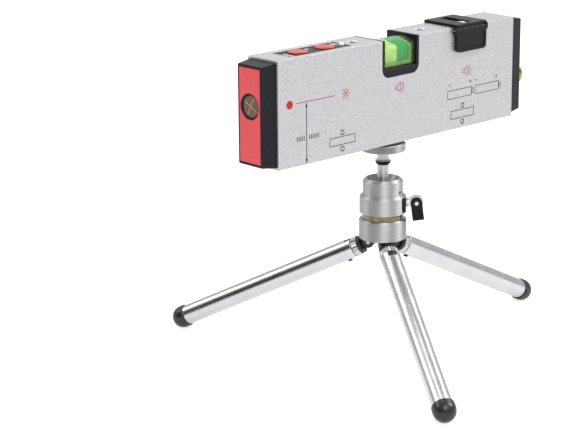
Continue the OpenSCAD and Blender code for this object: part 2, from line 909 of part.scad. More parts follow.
module button(x) {
    color("tomato") at_level() translate([x, 0, 0]) intersection() {
        union() {
            translate([0, 0, button_low]) cylinder(h = button_high - button_low, r = button_r);
            translate([0, 0, button_low]) cylinder(h = button_flange_t, r = button_flange_r);
        }
        translate([0, 0, button_high - button_crown]) sphere(r = button_crown);
    }
}

module status_led() {
    color("white") at_level() translate([led_x, led_y, board_high])
        cylinder(h = led_high - board_high, r = led_r);
}

module main_board() {
    color("darkgreen") at_level() block([board_x, -board_half, board_low],
                                        [board_x + board_len, board_half, board_high]);
}

module switches() {
    side = switch_side / 2;
    color([0.2, 0.2, 0.2]) at_level() for (x = [power_x, mode_x]) translate([x, 0, 0]) {
        block([-side, -side, board_high], [side, side, switch_high]);
        translate([0, 0, board_high]) cylinder(h = plunger_high - board_high, r = plunger_r);
    }
}

module buzzer() {
    color([0.2, 0.2, 0.2]) at_level() translate([buzzer_x, 0, buzzer_low])
        cylinder(h = board_low - buzzer_low, r = buzzer_r);
}

// ---- level: base ----

module magnets() {
    color("dimgray") at_level() for (x = magnet_x)
        block([x, -magnet_half, 0], [x + magnet_len, magnet_half, magnet_t]);
}

module tripod_bush() {
    color("goldenrod") at_level() translate([stud_x, 0, 0]) difference() {
        union() {
            cylinder(h = bush_high, r = bush_r);
            translate([0, 0, body_wall]) cylinder(h = bush_flange_t, r = bush_flange_r);
        }
        translate([0, 0, -over]) cylinder(h = bush_deep + over, r = bush_bore_r);
    }
}

// ---- the object ----

hub_ring();
leg_yoke();
hub_bolt();
head_washer();
leg_pins();
leg_tube(1);  // leg_tube_1
leg_tube(2);  // leg_tube_2
leg_tube(3);  // leg_tube_3
leg_tongue(1);  // leg_tongue_1
leg_tongue(2);  // leg_tongue_2
leg_tongue(3);  // leg_tongue_3
leg_rivet(1);  // leg_rivet_1
leg_rivet(2);  // leg_rivet_2
leg_rivet(3);  // leg_rivet_3
leg_foot(1);  // leg_foot_1
leg_foot(2);  // leg_foot_2
leg_foot(3);  // leg_foot_3
head_socket();
head_cap();
ball_seat();
set_screw();
clamp_insert();
clamp_screw();
key_pin();
clamp_key();
ball();
stem();
mount_disc();
disc_pad();
mount_stud();
housing();
front_cap();
front_plate();
lens_bezel();
beam_lens();
laser_barrel();
rear_cap();
battery_tube();
battery_cells();
battery_spring();
battery_contact();
battery_plug();
vial_frame();
vial_block();
vial_liquid();
top_screws();
keypad_bezel();
status_led();
main_board();
switches();
buzzer();
button(power_x);  // button_power
button(mode_x);  // button_mode
saddle();
flap();
flap_pin();
plumb_carrier();
plumb_vial();
magnets();
tripod_bush();
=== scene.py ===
"""Looks of a cross-line laser spirit level on a folding mini tripod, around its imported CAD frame."""
import json
import math

import bmesh
import bpy
from mathutils import Matrix, Vector


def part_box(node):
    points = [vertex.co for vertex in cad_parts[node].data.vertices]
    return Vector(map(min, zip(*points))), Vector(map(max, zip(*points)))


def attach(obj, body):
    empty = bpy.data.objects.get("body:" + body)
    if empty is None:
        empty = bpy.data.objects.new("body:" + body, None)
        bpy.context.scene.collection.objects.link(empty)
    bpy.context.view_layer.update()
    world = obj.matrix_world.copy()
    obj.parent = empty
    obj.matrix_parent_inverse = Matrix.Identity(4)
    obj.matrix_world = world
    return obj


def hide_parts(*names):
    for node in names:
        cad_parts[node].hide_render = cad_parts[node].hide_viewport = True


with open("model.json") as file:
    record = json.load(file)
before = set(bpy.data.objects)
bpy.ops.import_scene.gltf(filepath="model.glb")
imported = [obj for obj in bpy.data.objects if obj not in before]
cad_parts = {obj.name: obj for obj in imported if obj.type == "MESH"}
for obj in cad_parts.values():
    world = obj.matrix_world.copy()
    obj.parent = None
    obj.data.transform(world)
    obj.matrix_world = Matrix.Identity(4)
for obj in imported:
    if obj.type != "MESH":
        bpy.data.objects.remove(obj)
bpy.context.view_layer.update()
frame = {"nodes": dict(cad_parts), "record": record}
NODES = frame["nodes"]
MM = 0.001

# ---- places, all worked out from the frame ----

HOUSING_LOW, HOUSING_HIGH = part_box("housing")
DISC_LOW, DISC_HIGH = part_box("mount_disc")
BALL_LOW, BALL_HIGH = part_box("ball")
BALL = (BALL_LOW + BALL_HIGH) / 2
AXIS = (DISC_LOW + DISC_HIGH) / 2          # a point on the tripod's axis
LEVEL = Vector((HOUSING_LOW.x, (HOUSING_LOW.y + HOUSING_HIGH.y) / 2, HOUSING_LOW.z))
FRONT_Y = (HOUSING_LOW.y - LEVEL.y) / MM   # the marked face, in the level's own millimetres


def on_level(x, y, z):
    """A point given in millimetres from the housing's laser end, middle plane and base."""
    return LEVEL + Vector((x, y, z)) * MM


# ---- camera ----

VIEW_AZIMUTH = -42.53
VIEW_ELEVATION = 15.9
VIEW_ROLL = -0.51
VIEW_DISTANCE = 0.918
VIEW_LENS = 125.0
VIEW_ASIDE = 0.065       # how far the aim stands to the laser's side of the tripod's axis
VIEW_HEIGHT = 0.0792
VIEW_AIM = Vector((AXIS.x - VIEW_ASIDE, AXIS.y, VIEW_HEIGHT))
FARTHEST = 50            # the camera sees this far, in metres


def make_camera():
    """Looks at the object from the laser end's front side, a little from above."""
    a, e = math.radians(VIEW_AZIMUTH), math.radians(VIEW_ELEVATION)
    back = Vector((math.sin(a) * math.cos(e), -math.cos(a) * math.cos(e), math.sin(e)))
    camera = bpy.data.objects.new("camera", bpy.data.cameras.new("camera"))
    camera.data.lens = VIEW_LENS
    camera.data.clip_end = FARTHEST
    turn = back.to_track_quat("Z", "Y").to_matrix().to_4x4()
    roll = Matrix.Rotation(math.radians(VIEW_ROLL), 4, "Z")
    camera.matrix_world = Matrix.Translation(VIEW_AIM + back * VIEW_DISTANCE) @ turn @ roll
    bpy.context.scene.collection.objects.link(camera)
    bpy.context.scene.camera = camera


make_camera()

# ---- materials ----


class Shader:
    """A node material with one Principled shader, and the helpers that the materials share."""

    def __init__(self, name, colour, metallic=0.0, roughness=0.5, **sockets):
        self.material = bpy.data.materials.new(name)
        self.material.use_nodes = True
        self.tree = self.material.node_tree
        self.main = self.tree.nodes["Principled BSDF"]
        self.main.inputs["Base Color"].default_value = (*colour, 1)
        self.main.inputs["Metallic"].default_value = metallic
        self.main.inputs["Roughness"].default_value = roughness
        for socket, value in sockets.items():
            self.main.inputs[socket.replace("_", " ")].default_value = value
        self.place = self.tree.nodes.new("ShaderNodeTexCoord").outputs["Object"]
        self.last_bump = None

    def node(self, kind, **settings):
        """A new node of the kind, with its settings."""
        made = self.tree.nodes.new(kind)
        for key, value in settings.items():
            setattr(made, key, value)
        return made

    def link(self, out, into):
        """Joins an output to an input."""
        self.tree.links.new(out, into)

    def noise(self, size, detail=2.0, stretch=(1, 1, 1)):
        """Noise whose grains are about size millimetres across."""
        mapping = self.node("ShaderNodeMapping")
        mapping.inputs["Scale"].default_value = stretch
        self.link(self.place, mapping.inputs["Vector"])
        made = self.node("ShaderNodeTexNoise")
        made.inputs["Scale"].default_value = 1 / (size * MM)
        made.inputs["Detail"].default_value = detail
        self.link(mapping.outputs["Vector"], made.inputs["Vector"])
        return made.outputs["Fac"]

    def spread(self, value, low, high, out_low, out_high):
        """The value from low to high, stretched to run from out_low to out_high."""
        made = self.node("ShaderNodeMapRange")
        made.inputs["From Min"].default_value = low
        made.inputs["From Max"].default_value = high
        made.inputs["To Min"].default_value = out_low
        made.inputs["To Max"].default_value = out_high
        self.link(value, made.inputs["Value"])
        return made.outputs["Result"]

    def mottle(self, value, dark, light, low=0.35, high=0.65):
        """Colours the surface from dark to light by the value."""
        ramp = self.node("ShaderNodeValToRGB")
        ramp.color_ramp.elements[0].position = low
        ramp.color_ramp.elements[1].position = high
        ramp.color_ramp.elements[0].color = (*dark, 1)
        ramp.color_ramp.elements[1].color = (*light, 1)
        self.link(value, ramp.inputs["Fac"])
        self.link(ramp.outputs["Color"], self.main.inputs["Base Color"])
        return self

    def rough(self, value, low, high):
        """Lets the roughness run from low to high with the value."""
        self.link(self.spread(value, 0.3, 0.7, low, high), self.main.inputs["Roughness"])
        return self

    def bump(self, value, strength, depth):
        """Raises the surface by the value, depth millimetres at most."""
        made = self.node("ShaderNodeBump")
        made.inputs["Strength"].default_value = strength
        made.inputs["Distance"].default_value = depth * MM
        self.link(value, made.inputs["Height"])
        if self.last_bump is not None:
            self.link(self.last_bump, made.inputs["Normal"])
        self.last_bump = made.outputs["Normal"]
        self.link(self.last_bump, self.main.inputs["Normal"])
        return self

    def around_axis(self):
        """Turns the shader's anisotropy round the vertical axis, as turning marks run."""
        tangent = self.node("ShaderNodeTangent", direction_type="RADIAL", axis="Z")
        self.link(tangent.outputs["Tangent"], self.main.inputs["Tangent"])
        return self


def shade(colour, factor):
    """The colour made darker or lighter."""
    return tuple(min(1.0, c * factor) for c in colour)


def blasted_aluminium():
    """Fine blasted, natural anodised extrusion: a soft sheen with a grey speckle."""
    colour = (0.47, 0.47, 0.485)
    s = Shader("housing_aluminium", colour, metallic=0.75, roughness=0.42)
    s.mottle(s.noise(0.6, 5), shade(colour, 0.84), shade(colour, 1.14), 0.32, 0.68)
    s.rough(s.noise(1.4), 0.36, 0.5)
    return s.bump(s.noise(0.25, 3), 0.35, 0.03).material


def turned_aluminium():
    """Bright turned aluminium with fine marks round the tripod's axis."""
    colour = (0.53, 0.53, 0.54)
    s = Shader("turned_aluminium", colour, metallic=1.0, roughness=0.58, Anisotropic=0.95,
               Anisotropic_Rotation=0.25)
    rings = s.noise(0.4, 3, stretch=(0.01, 0.01, 1))
    s.mottle(rings, shade(colour, 0.92), shade(colour, 1.06))
    s.rough(rings, 0.53, 0.63)
    return s.around_axis().bump(rings, 0.05, 0.01).material


def tube_aluminium():
    """Drawn and polished leg tube, with faint handling marks."""
    colour = (0.56, 0.56, 0.58)
    s = Shader("leg_tube", colour, metallic=1.0, roughness=0.26)
    s.mottle(s.noise(9, 2), shade(colour, 0.96), shade(colour, 1.03))
    s.rough(s.noise(7, 2), 0.23, 0.29)
    return s.bump(s.noise(1.5, 1), 0.02, 0.004).material


def dark_steel():
    """Blackened steel of the yoke, the tongues and the small screws."""
    colour = (0.035, 0.035, 0.038)
    s = Shader("dark_steel", colour, metallic=0.5, roughness=0.42, Specular_IOR_Level=0.3)
    s.mottle(s.noise(0.9, 4), shade(colour, 0.7), shade(colour, 1.4))
    return s.rough(s.noise(0.5), 0.3, 0.48).bump(s.noise(0.3, 3), 0.2, 0.03).material


def bright_steel():
    """Bright plating of the ball, the stem and the clamp."""
    colour = (0.55, 0.55, 0.56)
    s = Shader("bright_steel", colour, metallic=1.0, roughness=0.4, Anisotropic=0.9,
               Anisotropic_Rotation=0.25)
    s.mottle(s.noise(1.5, 3), shade(colour, 0.93), shade(colour, 1.05))
    return s.rough(s.noise(0.8, 3), 0.34, 0.44).around_axis().material


def brass():
    """Turned brass, a little dulled by handling."""
    colour = (0.36, 0.26, 0.13)
    s = Shader("brass", colour, metallic=1.0, roughness=0.28)
    s.mottle(s.noise(1.2, 4), shade(colour, 0.8), shade(colour, 1.12))
    return s.rough(s.noise(0.7, 3), 0.2, 0.38).bump(s.noise(0.2, 2), 0.1, 0.02).material


def fibre():
    """The washer in the groove under the head: its dark olive-brown is painted shade of the groove,
    under a metallic shine.
    """
    colour = (0.17, 0.15, 0.09)
    s = Shader("fibre", colour, metallic=0.9, roughness=0.24)
    s.mottle(s.noise(3, 3), shade(colour, 0.75), shade(colour, 1.3))
    return s.bump(s.noise(1.5, 2), 0.05, 0.02).material


def foot_rubber():
    """Smooth black rubber of the feet, with a soft shine."""
    colour = (0.010, 0.010, 0.011)
    s = Shader("foot_rubber", colour, roughness=0.3, Specular_IOR_Level=0.45)
    s.mottle(s.noise(1.8, 4), shade(colour, 0.7), shade(colour, 1.8))
    return s.rough(s.noise(1.1, 3), 0.24, 0.4).bump(s.noise(0.35, 3), 0.12, 0.03).material


def pad_rubber():
    """Matt black rubber of the pad under the level."""
    colour = (0.02, 0.02, 0.02)
    s = Shader("pad_rubber", colour, roughness=0.8)
    s.mottle(s.noise(0.5, 4), shade(colour, 0.6), shade(colour, 1.6))
    return s.bump(s.noise(0.3, 3), 0.4, 0.06).material


def black_plastic():
    """Satin black moulding with a fine spark texture."""
    colour = (0.009, 0.009, 0.012)
    s = Shader("black_plastic", colour, roughness=0.4, Specular_IOR_Level=0.14)
    s.mottle(s.noise(0.9, 4), shade(colour, 0.8), shade(colour, 1.35))
    return s.rough(s.noise(0.6, 3), 0.32, 0.46).bump(s.noise(0.22, 2), 0.15, 0.02).material


def nylon():
    """Natural nylon of the seat under the ball."""
    colour = (0.72, 0.70, 0.62)
    s = Shader("nylon", colour, roughness=0.45, Subsurface_Weight=0.1)
    return s.mottle(s.noise(1.5, 3), shade(colour, 0.92), shade(colour, 1.06)).material


def red_gloss(name, colour, roughness):
    """Red moulding: the plate round the laser, and the buttons."""
    s = Shader(name, colour, roughness=roughness, Coat_Weight=0.25, Coat_Roughness=0.12,
               Specular_IOR_Level=0.35)
    s.mottle(s.noise(6, 2), shade(colour, 0.96), shade(colour, 1.04))
    return s.rough(s.noise(4, 2), roughness * 0.9, roughness * 1.15).material


def clear(name, colour, ior, roughness=0.02, passing=1.0):
    """Tinted glass, acrylic or liquid. What doesn't pass through it scatters at its surface."""
    s = Shader(name, colour, roughness=roughness, IOR=ior, Transmission_Weight=passing)
    return s.mottle(s.noise(3, 2), shade(colour, 0.95), shade(colour, 1.04)).material


def cell_jacket():
    """Plain jacket of the battery cells."""
    colour = (0.10, 0.16, 0.30)
    s = Shader("cell_jacket", colour, metallic=0.3, roughness=0.3)
    return s.mottle(s.noise(2, 3), shade(colour, 0.85), shade(colour, 1.15)).material


def circuit_board():
    """Green solder mask over a faint pattern of tracks."""
    colour = (0.01, 0.15, 0.06)
    s = Shader("circuit_board", colour, roughness=0.35)
    return s.mottle(s.noise(1.0, 1, (1, 0.2, 1)), shade(colour, 0.7), shade(colour, 1.4)).material


def led_lens():
    """Diffused lens of the battery light. Its white glow is also used as a painted glint on the plumb
    vial's top.
    """
    colour = (0.9, 0.9, 0.88)
    s = Shader("led_lens", colour, roughness=0.2, Emission_Strength=0.15)
    s.main.inputs["Emission Color"].default_value = (1, 1, 1, 1)
    return s.mottle(s.noise(0.6, 2), shade(colour, 0.96), colour).material


def magnet_steel():
    """Nickel plating of the base magnets."""
    colour = (0.62, 0.61, 0.60)
    s = Shader("magnet_steel", colour, metallic=1.0, roughness=0.25)
    s.mottle(s.noise(1.5, 3), shade(colour, 0.9), shade(colour, 1.08))
    return s.rough(s.noise(0.9, 3), 0.18, 0.34).material


def ink(name, colour):
    """Printed ink on the blasted metal, a little uneven at its edges."""
    s = Shader(name, colour, roughness=0.6, Specular_IOR_Level=0.2)
    return s.mottle(s.noise(0.35, 3), shade(colour, 0.8), shade(colour, 1.25)).material


MATERIALS = {
    "turned_aluminium": turned_aluminium(),
    "leg_tube": tube_aluminium(),
    "housing_aluminium": blasted_aluminium(),
    "dark_steel": dark_steel(),
    "bright_steel": bright_steel(),
    "brass": brass(),
    # the fibre slot's dark olive-brown base colour is painted shade of the groove under the head
    "fibre": fibre(),
    "foot_rubber": foot_rubber(),
    "pad_rubber": pad_rubber(),
    "black_plastic": black_plastic(),
    "nylon": nylon(),
    "red_plate": red_gloss("red_plate", (0.62, 0.034, 0.042), 0.3),
    "red_button": red_gloss("red_button", (0.46, 0.022, 0.016), 0.3),
    "lens_amber": clear("lens_amber", (0.16, 0.06, 0.025), 1.45, 0.08, 0.3),
    "vial_acrylic": clear("vial_acrylic", (0.74, 0.95, 0.60), 1.22, 0.03, 0.93),
    "vial_liquid": clear("vial_liquid", (0.0, 0.37, 0.12), 1.1, 0.05, 0.15),
    "cell_jacket": cell_jacket(),
    "circuit_board": circuit_board(),
    "led_lens": led_lens(),
    "magnet_steel": magnet_steel(),
}
BLACK_INK = ink("black_ink", (0.03, 0.03, 0.032))
RED_INK = ink("red_ink", (0.36, 0.018, 0.02))
SILVER_INK = ink("silver_ink", (0.75, 0.75, 0.75))
VIAL_GAS = clear("vial_gas", (0.80, 0.95, 0.45), 1.15, 0.06, 0.3)
VIAL_BACK = clear("vial_back", (0.34, 0.62, 0.08), 1.15, 0.3, 0.2)
COLLAR = Shader("collar", (0.55, 0.54, 0.50), metallic=0.8, roughness=0.3).material

# ---- CAD nodes: true shapes, with soft edges and real finishes ----

EDGE = {
    "housing": 0.75, "front_cap": 0.8, "rear_cap": 0.8, "front_plate": 0.25, "lens_bezel": 0.15,
    "saddle": 0.3, "flap": 0.35, "vial_frame": 0.5, "keypad_bezel": 0.1,
    "button_power": 0.6, "button_mode": 0.6, "hub_ring": 0.3, "leg_yoke": 0.3,
    "head_socket": 0.3, "head_cap": 0.35, "stem": 0.2, "disc_pad": 0.2, "clamp_key": 0.12,
    "clamp_screw": 0.3, "key_pin": 0.15, "battery_plug": 0.2, "magnets": 0.2, "top_screws": 0.1,
    "clamp_insert": 0.15, "head_washer": 0.1,
}
LEG_EDGE = {"leg_tube": 0.2, "leg_tongue": 0.3, "leg_rivet": 0.15, "leg_foot": 0.2}
SHARP = math.radians(32)     # edges sharper than this are rounded
WELD_GAP = 2e-6              # points of the CAD mesh closer than this, in metres, become one
EDGE_STEPS = 3


def soften(piece, width):
    """Rounds a CAD piece's edges and evens out its shading, as modifiers on its own mesh."""
    weld = piece.modifiers.new("weld", "WELD")
    weld.merge_threshold = WELD_GAP
    if width:
        bevel = piece.modifiers.new("edges", "BEVEL")
        bevel.width = width * MM
        bevel.segments = EDGE_STEPS
        bevel.limit_method = "ANGLE"
        bevel.angle_limit = SHARP
        bevel.harden_normals = True
    even = piece.modifiers.new("even", "WEIGHTED_NORMAL")
    even.keep_sharp = True


def dress_cad():
    """Gives each CAD node its material and its soft edges."""
    for row in frame["record"]["subparts"]:
        piece = NODES[row["node"]]
        piece.data.materials.clear()
        piece.data.materials.append(MATERIALS[row["material_slot"]])
        kind = row["node"].rstrip("_123")      # leg_tube_1 is a leg_tube
        soften(piece, LEG_EDGE.get(kind, EDGE.get(row["node"], 0)))


dress_cad()

# ---- pieces in mesh code ----


def link_piece(name, bm, body, material):
    """Makes the object for a finished bmesh, and lets it ride on a body."""
    bmesh.ops.recalc_face_normals(bm, faces=bm.faces)
    mesh = bpy.data.meshes.new(name)
    bm.to_mesh(mesh)
    bm.free()
    mesh.materials.append(material)
    piece = bpy.data.objects.new(name, mesh)
    bpy.context.scene.collection.objects.link(piece)
    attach(piece, body)
    return piece


def lathe(rows, steps, place):
    """A turned shape: rows of (radius, height, knurl depth), in millimetres, from end to end."""
    bm = bmesh.new()
    loops = []
    for radius, height, knurl in rows:
        if radius == 0:
            loops.append([bm.verts.new(place @ Vector((0, 0, height * MM)))])
            continue
        loop = []
        for k in range(steps):
            angle = math.tau * k / steps
            r = (radius - knurl * (k % 2)) * MM
            loop.append(bm.verts.new(place @ Vector((r * math.cos(angle), r * math.sin(angle),
                                                     height * MM))))
        loops.append(loop)
    for low, high in zip(loops, loops[1:]):
        for k in range(steps):
            n = (k + 1) % steps
            if len(low) == 1:
                bm.faces.new((low[0], high[n], high[k]))
            elif len(high) == 1:
                bm.faces.new((low[k], low[n], high[0]))
            else:
                bm.faces.new((low[k], low[n], high[n], high[k]))
    return bm


def smooth(piece, degrees=35):
    """Smooth shading with sharp edges kept where faces meet at more than the angle."""
    for face in piece.data.polygons:
        face.use_smooth = True
    piece.data.set_sharp_from_angle(angle=math.radians(degrees))
    return piece


def knurled_disc():
    """The mounting disc: straight knurling between two bevels, and a shallow turned face."""
    radius = (DISC_HIGH.x - DISC_LOW.x) / 2 / MM
    height = (DISC_HIGH.z - DISC_LOW.z) / MM
    bevel, depth = 0.35, 0.4
    ridges = 66
    dish, dish_rim, dish_foot = 0.15, 1.6, 2.2      # the turned face: depth, and steps from the rim
    rows = [
        (0, dish, 0), (radius - dish_foot, dish, 0),
        (radius - dish_rim, 0, 0), (radius - bevel - depth, 0, 0), (radius, bevel, depth),
        (radius, height - bevel, depth), (radius - bevel - depth, height, 0), (0, height, 0),
    ]
    place = Matrix.Translation((AXIS.x, AXIS.y, DISC_LOW.z))
    piece = link_piece("mount_disc_knurled", lathe(rows, 2 * ridges, place), "mount",
                       MATERIALS["turned_aluminium"])
    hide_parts("mount_disc")
    smooth(piece, 25)


def stem_collar():
    """The black plastic collar below the mounting disc; its bright top face is the stem's own."""
    low, waist, groove, rim, top = 14.95, 15.7, 15.85, 16.3, 16.95     # above the ball's centre
    foot_r, waist_r, groove_r, rim_r = 3.15, 3.6, 3.45, 3.79
    rows = [(0, low, 0), (foot_r, low, 0), (waist_r, waist, 0), (groove_r, groove, 0),
            (rim_r, rim, 0), (rim_r, top, 0), (0, top, 0)]
    piece = link_piece("stem_collar", lathe(rows, 64, Matrix.Translation(BALL)), "mount",
                       MATERIALS["black_plastic"])
    smooth(piece)


def leg_collar(i):
    """The ribbed plastic collar between a leg's tube and its tongue."""
    joint = next(j for j in frame["record"]["behaviour"]["joints"] if j["name"] == f"leg_fold_{i}")
    hinge = Vector(joint["pos_m"])
    low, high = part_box(f"leg_tube_{i}")
    turn = ((low + high) / 2 - hinge).to_track_quat("Z", "Y").to_matrix().to_4x4()
    start, end, bevel = 5.5, 8.75, 0.25     # along the leg, from its hinge
    end_r, rib_r, rib_depth = 4.5, 4.85, 0.28
    ribs = 22
    rows = [(0, start, 0), (end_r, start, 0), (rib_r, start + bevel, rib_depth),
            (rib_r, end - bevel, rib_depth), (end_r, end, 0), (0, end, 0)]
    piece = link_piece(f"leg_collar_{i}", lathe(rows, 2 * ribs, Matrix.Translation(hinge) @ turn),
                       f"leg_{i}", COLLAR)
    smooth(piece, 20)


def rounded_box(name, low, high, edge, material):
    """A box between two corners with rounded edges, riding on the level."""
    bm = bmesh.new()
    bmesh.ops.create_cube(bm, size=1)
    for vert in bm.verts:
        vert.co = (low + high) / 2 + Vector(a * b for a, b in zip(vert.co, high - low))
    bmesh.ops.bevel(bm, geom=bm.edges[:], offset=edge * MM, segments=4, profile=0.5,
                    affect="EDGES")
    return smooth(link_piece(name, bm, "level", material))


def vial():
    """The vial: a clear crowned block with a coloured back, the green liquid and its bubble."""
    low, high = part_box("vial_block")
    x1, x2, z1, z2 = ((low.x - LEVEL.x) / MM, (high.x - LEVEL.x) / MM,
                      (low.z - LEVEL.z) / MM, (high.z - LEVEL.z) / MM)
    half = (high.y - low.y) / 2 / MM
    crown = 2.5
    edge = z2 - crown
    parts = 12
    outline = [(-half, z1), (half, z1)]
    for k in range(parts + 1):
        t = 1 - 2 * k / parts
        outline.append((half * t, edge + (z2 - edge) * (1 - t * t)))
    bm = bmesh.new()
    loops = [[bm.verts.new(on_level(x, y, z)) for y, z in outline] for x in (x1, x2)]
    bm.faces.new(loops[0])
    bm.faces.new(loops[1][::-1])
    for k in range(len(outline)):
        n = (k + 1) % len(outline)
        bm.faces.new((loops[0][n], loops[0][k], loops[1][k], loops[1][n]))
    sharp = [e for e in bm.edges if e.calc_face_angle(0) > math.radians(40)]
    bmesh.ops.bevel(bm, geom=sharp, offset=0.5 * MM, segments=3, profile=0.5, affect="EDGES")
    clear_block = smooth(link_piece("vial_clear", bm, "level", MATERIALS["vial_acrylic"]))
    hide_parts("vial_block")
    rounded_box("vial_glow", on_level(x1 + 0.5, -half + 1.2, z1 + 0.4),
                on_level(x2 - 0.5, half - 1.2, edge - 0.6), 0.5, VIAL_BACK)
    green = rounded_box("vial_green", on_level(x1 + 1.2, -half + 0.8, z1 + 2.0),
                        on_level(x2 - 2.1, half - 0.8, edge - 0.3), 1.5, MATERIALS["vial_liquid"])
    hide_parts("vial_liquid")
    rounded_box("vial_bubble", on_level(x1 + 0.8, -half + 0.7, z1 + 1.9),
                on_level(x1 + 11.4, half - 0.7, edge - 0.2), 1.6, VIAL_GAS)


def beam_cross():
    """The fine cross on the laser's lens."""
    low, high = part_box("beam_lens")
    centre = (low + high) / 2
    margin, thick, wide = 0.4 * MM, 0.24 * MM, 0.5 * MM
    reach = (high.z - low.z) / 2 - margin
    bm = bmesh.new()
    for turn in (28, 118):
        made = bmesh.ops.create_cube(bm, size=1)["verts"]
        spin = Matrix.Rotation(math.radians(turn), 3, "X")
        for vert in made:
            size = Vector((thick * vert.co.x, wide * vert.co.y, 2 * reach * vert.co.z))
            vert.co = Vector((low.x, centre.y, centre.z)) + spin @ size
    link_piece("beam_cross", bm, "level", MATERIALS["brass"])


def plumb_top():
    """A white, faintly glowing cap on the plumb vial's neck, seen through the saddle's slot: a painted
    glint.
    """
    low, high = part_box("plumb_vial")
    centre = (low + high) / 2
    radius, flat_r, side, flat, crown = 2.3, 1.9, 0.9, 1.15, 1.2
    rows = [(0, 0, 0), (radius, 0, 0), (radius, side, 0), (flat_r, flat, 0), (0, crown, 0)]
    place = Matrix.Translation((centre.x, centre.y, high.z - flat * MM))
    # The LED lens's white glow on this cap is a painted glint, standing in for light through the vial.
    smooth(link_piece("plumb_top", lathe(rows, 32, place), "level", MATERIALS["led_lens"]))


knurled_disc()
stem_collar()
for n in (1, 2, 3):
    leg_collar(n)
vial()
beam_cross()
plumb_top()

# ---- printed marks ----

PRINT_THICK = 0.03       # how far a mark stands out of its face, and reaches into it


class Print:
    """Flat marks on a face of the level. Each mark is a thin closed plate."""

    def __init__(self, name, material, face):
        self.name, self.material, self.face, self.bm = name, material, face, bmesh.new()

    def plate(self, points):
        """One plate with the outline given in the face's own millimetres."""
        outer = [self.bm.verts.new(self.face(u, v, PRINT_THICK)) for u, v in points]
        inner = [self.bm.verts.new(self.face(u, v, -PRINT_THICK)) for u, v in points]
        self.bm.faces.new(outer)
        self.bm.faces.new(inner[::-1])
        for k in range(len(points)):
            n = (k + 1) % len(points)
            self.bm.faces.new((outer[n], outer[k], inner[k], inner[n]))

    def bar(self, u1, v1, u2, v2, width):
        """A straight stroke."""
        along = Vector((u2 - u1, v2 - v1)).normalized() * width / 2
        du, dv = -along.y, along.x
        self.plate([(u1 + du, v1 + dv), (u1 - du, v1 - dv), (u2 - du, v2 - dv), (u2 + du, v2 + dv)])

    def outline(self, u1, v1, u2, v2, width):
        """An upright rectangle's outline, in four strokes that meet end to side."""
        h = width / 2
        self.bar(u1 - h, v1, u2 + h, v1, width)
        self.bar(u1 - h, v2, u2 + h, v2, width)
        self.bar(u1, v1 + h, u1, v2 - h, width)
        self.bar(u2, v1 + h, u2, v2 - h, width)

    def disc(self, u, v, radius, sides=32):
        """A round spot."""
        turn = [math.tau * k / sides for k in range(sides)]
        self.plate([(u + radius * math.cos(t), v + radius * math.sin(t)) for t in turn])

    def arc(self, u, v, radius, start, end, width, parts=10):
        """A curved stroke about a point, from one angle to another, in degrees."""
        for k in range(parts):
            a = math.radians(start + (end - start) * k / parts)
            b = math.radians(start + (end - start) * (k + 1) / parts)
            low, high = radius - width / 2, radius + width / 2
            self.plate([(u + low * math.cos(a), v + low * math.sin(a)),
                        (u + high * math.cos(a), v + high * math.sin(a)),
                        (u + high * math.cos(b), v + high * math.sin(b)),
                        (u + low * math.cos(b), v + low * math.sin(b))])

    def done(self):
        """Turns the marks into one piece on the level."""
        link_piece(self.name, self.bm, "level", self.material)


def front_face(u, v, out):
    """The marked side: u along the level from the laser end, v up from the base."""
    return on_level(u, FRONT_Y - out, v)


KEYPAD_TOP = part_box("keypad_bezel")[1].z


def keypad_face(u, v, out):
    """The keypad's face: u along the level, v towards the back."""
    return on_level(u, v, (KEYPAD_TOP - LEVEL.z) / MM + out)


BEAM = 29.5              # height of the beam above the base


def beam_mark():
    """The red spot at the beam's height, its leader line and a plain starburst."""
    p = Print("print_beam", RED_INK, front_face)
    p.disc(7.1, BEAM, 2.0)
    p.bar(10.6, BEAM, 35.5, BEAM, 0.35)
    star, near, far, rays = 42.5, 1.0, 2.6, 8
    for k in range(rays):
        a = math.tau * k / rays
        c, s = math.cos(a), math.sin(a)
        p.bar(star + near * c, BEAM + near * s, star + far * c, BEAM + far * s, 0.4)
    p.disc(star, BEAM, 0.6)
    p.done()


def height_mark():
    """The dimension line from the base up to the beam, with tick marks beside it."""
    p = Print("print_height", BLACK_INK, front_face)
    u, head, half = 17.5, 2.4, 0.75       # the line's place, and its arrowheads
    low, high = 0.3, BEAM - 0.3
    p.bar(u, head, u, high - head, 0.42)
    p.plate([(u - half, high - head), (u + half, high - head), (u, high)])
    p.plate([(u, low), (u + half, head + low), (u - half, head + low)])
    pitch, tick_low, tick_high = 1.1, 11.6, 13.8
    for first, ticks in ((11.6, 5), (19.4, 6)):
        for k in range(ticks):
            tick = first + pitch * k
            p.bar(tick, tick_low, tick, tick_high, 0.45)
    p.done()


def magnet_mark(name, u1, u2, v1, v2):
    """A magnet's outline with a mark for each pole."""
    p = Print(name, BLACK_INK, front_face)
    p.outline(u1, v1, u2, v2, 0.35)
    mid = (u1 + u2) / 2
    p.outline(mid - 0.9, v2 + 0.9, mid + 0.9, v2 + 3.0, 0.45)
    p.arc(mid, v1 - 2.1, 1.1, 0, 360, 0.5, 20)
    p.done()


def speaker_mark(name, u, v):
    """A small loudspeaker with two waves, for the sound that goes with a vial."""
    p = Print(name, RED_INK, front_face)
    w = 0.3
    p.outline(u - 3.0, v - 0.9, u - 1.6, v + 0.9, w)
    p.bar(u - 1.5, v + 0.9, u + 0.3, v + 2.2, w)
    p.bar(u - 1.5, v - 0.9, u + 0.3, v - 2.2, w)
    p.bar(u + 0.3, v - 2.35, u + 0.3, v + 2.35, w)
    p.arc(u - 0.6, v, 2.2, -48, 48, w)
    p.arc(u - 0.6, v, 3.3, -48, 48, w)
    p.done()


